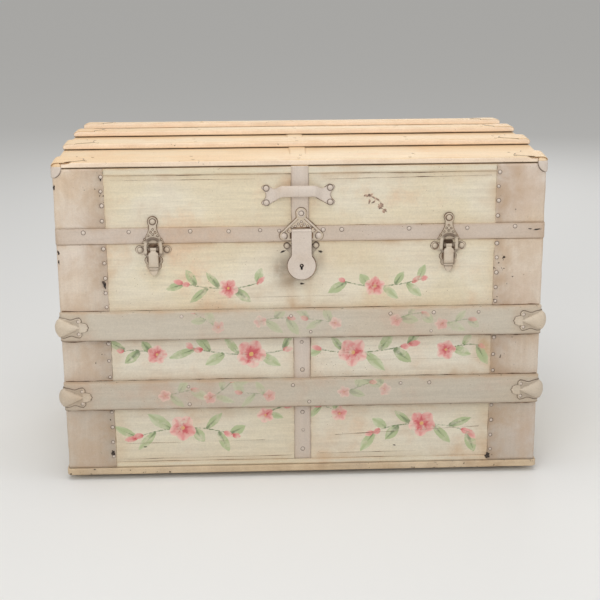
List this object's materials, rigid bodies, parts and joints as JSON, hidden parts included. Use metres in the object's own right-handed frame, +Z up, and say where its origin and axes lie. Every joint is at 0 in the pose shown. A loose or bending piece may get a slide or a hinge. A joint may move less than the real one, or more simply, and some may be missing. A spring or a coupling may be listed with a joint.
{
  "type": "slat top trunk",
  "caption": "Painted wooden storage trunk with a slatted hinged lid, metal corners, slat clamps, draw latches, hasp lock and leather end handles.",
  "frame": {"origin": "middle of the trunk's footprint, on the floor under its runners", "axes": "+X along the trunk's width to the right as seen from the front, +Y from front to back, +Z up; the front with its lock and latches faces -Y"},
  "size_m": [0.9314, 0.542, 0.6015],
  "materials": {
    "cream_paint": "aged matt cream paint on pine boards, worn and stained near the edges",
    "warm_cream_paint": "aged warm cream paint on the top boards and top slats",
    "greige_paint_wood": "aged pinkish greige paint on hardwood slats",
    "greige_paint_metal": "aged pinkish greige paint on sheet and cast metal",
    "bare_pine": "old unfinished pine",
    "stained_wood": "dark stained hardwood",
    "handle_leather": "worn brown leather with stitched edges"
  },
  "bodies": {
    "case": {"case_front": "cream_paint", "case_back": "cream_paint", "case_end_left": "cream_paint", "case_end_right": "cream_paint", "case_floor": "bare_pine", "case_lip": "bare_pine", "case_corner_sheet_front_left": "greige_paint_metal", "case_corner_sheet_front_right": "greige_paint_metal", "case_corner_sheet_back_left": "greige_paint_metal", "case_corner_sheet_back_right": "greige_paint_metal", "case_slat_front_upper": "greige_paint_wood", "case_slat_front_lower": "greige_paint_wood", "case_slat_back_upper": "greige_paint_wood", "case_slat_back_lower": "greige_paint_wood", "slat_clamp_front_upper_left": "greige_paint_metal", "slat_clamp_front_upper_right": "greige_paint_metal", "slat_clamp_front_lower_left": "greige_paint_metal", "slat_clamp_front_lower_right": "greige_paint_metal", "slat_clamp_back_upper_left": "greige_paint_metal", "slat_clamp_back_upper_right": "greige_paint_metal", "slat_clamp_back_lower_left": "greige_paint_metal", "slat_clamp_back_lower_right": "greige_paint_metal", "case_center_strap": "greige_paint_metal", "base_rim": "greige_paint_metal", "runner_front": "stained_wood", "runner_back": "stained_wood", "lock_keeper": "greige_paint_metal", "latch_base_left": "greige_paint_metal", "latch_base_right": "greige_paint_metal", "hinge_leaf_case_left": "greige_paint_metal", "hinge_leaf_case_right": "greige_paint_metal", "end_handle_left": "handle_leather", "end_handle_right": "handle_leather", "handle_loop_left_front": "greige_paint_metal", "handle_loop_left_back": "greige_paint_metal", "handle_loop_right_front": "greige_paint_metal", "handle_loop_right_back": "greige_paint_metal"},
    "lid": {"lid_top": "warm_cream_paint", "lid_front": "cream_paint", "lid_back": "cream_paint", "lid_end_left": "cream_paint", "lid_end_right": "cream_paint", "lid_slat_1": "warm_cream_paint", "lid_slat_2": "warm_cream_paint", "lid_slat_3": "warm_cream_paint", "lid_slat_4": "warm_cream_paint", "lid_corner_sheets": "greige_paint_metal", "lid_band": "greige_paint_metal", "lid_center_strap": "greige_paint_metal", "lid_grip": "greige_paint_metal", "lock_plate": "greige_paint_metal", "latch_catch_left": "greige_paint_metal", "latch_catch_right": "greige_paint_metal", "hinge_leaf_lid_left": "greige_paint_metal", "hinge_leaf_lid_right": "greige_paint_metal"},
    "lock_hasp": {"lock_hasp": "greige_paint_metal"},
    "latch_lever_left": {"latch_lever_left": "greige_paint_metal"},
    "latch_bail_left": {"latch_bail_left": "greige_paint_metal"},
    "latch_lever_right": {"latch_lever_right": "greige_paint_metal"},
    "latch_bail_right": {"latch_bail_right": "greige_paint_metal"}
  },
  "joints": [
    {"name": "lid_hinge", "type": "hinge", "parent": "case", "child": "lid", "pos_m": [0, 0.2559, 0.446], "axis": [-1, 0, 0], "range_deg": [0, 105]},
    {"name": "lock_hasp_hinge", "type": "hinge", "parent": "lid", "child": "lock_hasp", "pos_m": [0, -0.2569, 0.467], "axis": [-1, 0, 0], "range_deg": [0, 100]},
    {"name": "latch_lever_left_hinge", "type": "hinge", "parent": "case", "child": "latch_lever_left", "pos_m": [-0.261, -0.2577, 0.4375], "axis": [-1, 0, 0], "range_deg": [0, 150]},
    {"name": "latch_bail_left_hinge", "type": "hinge", "parent": "latch_lever_left", "child": "latch_bail_left", "pos_m": [-0.261, -0.2577, 0.426], "axis": [-1, 0, 0], "range_deg": [-165, 0]},
    {"name": "latch_lever_right_hinge", "type": "hinge", "parent": "case", "child": "latch_lever_right", "pos_m": [0.261, -0.2577, 0.4375], "axis": [-1, 0, 0], "range_deg": [0, 150]},
    {"name": "latch_bail_right_hinge", "type": "hinge", "parent": "latch_lever_right", "child": "latch_bail_right", "pos_m": [0.261, -0.2577, 0.426], "axis": [-1, 0, 0], "range_deg": [-165, 0]}
  ],
  "couplings": [
    {"joint": "latch_bail_left_hinge", "follows": "latch_lever_left_hinge", "ratio": -1.1},
    {"joint": "latch_bail_right_hinge", "follows": "latch_lever_right_hinge", "ratio": -1.1}
  ]
}
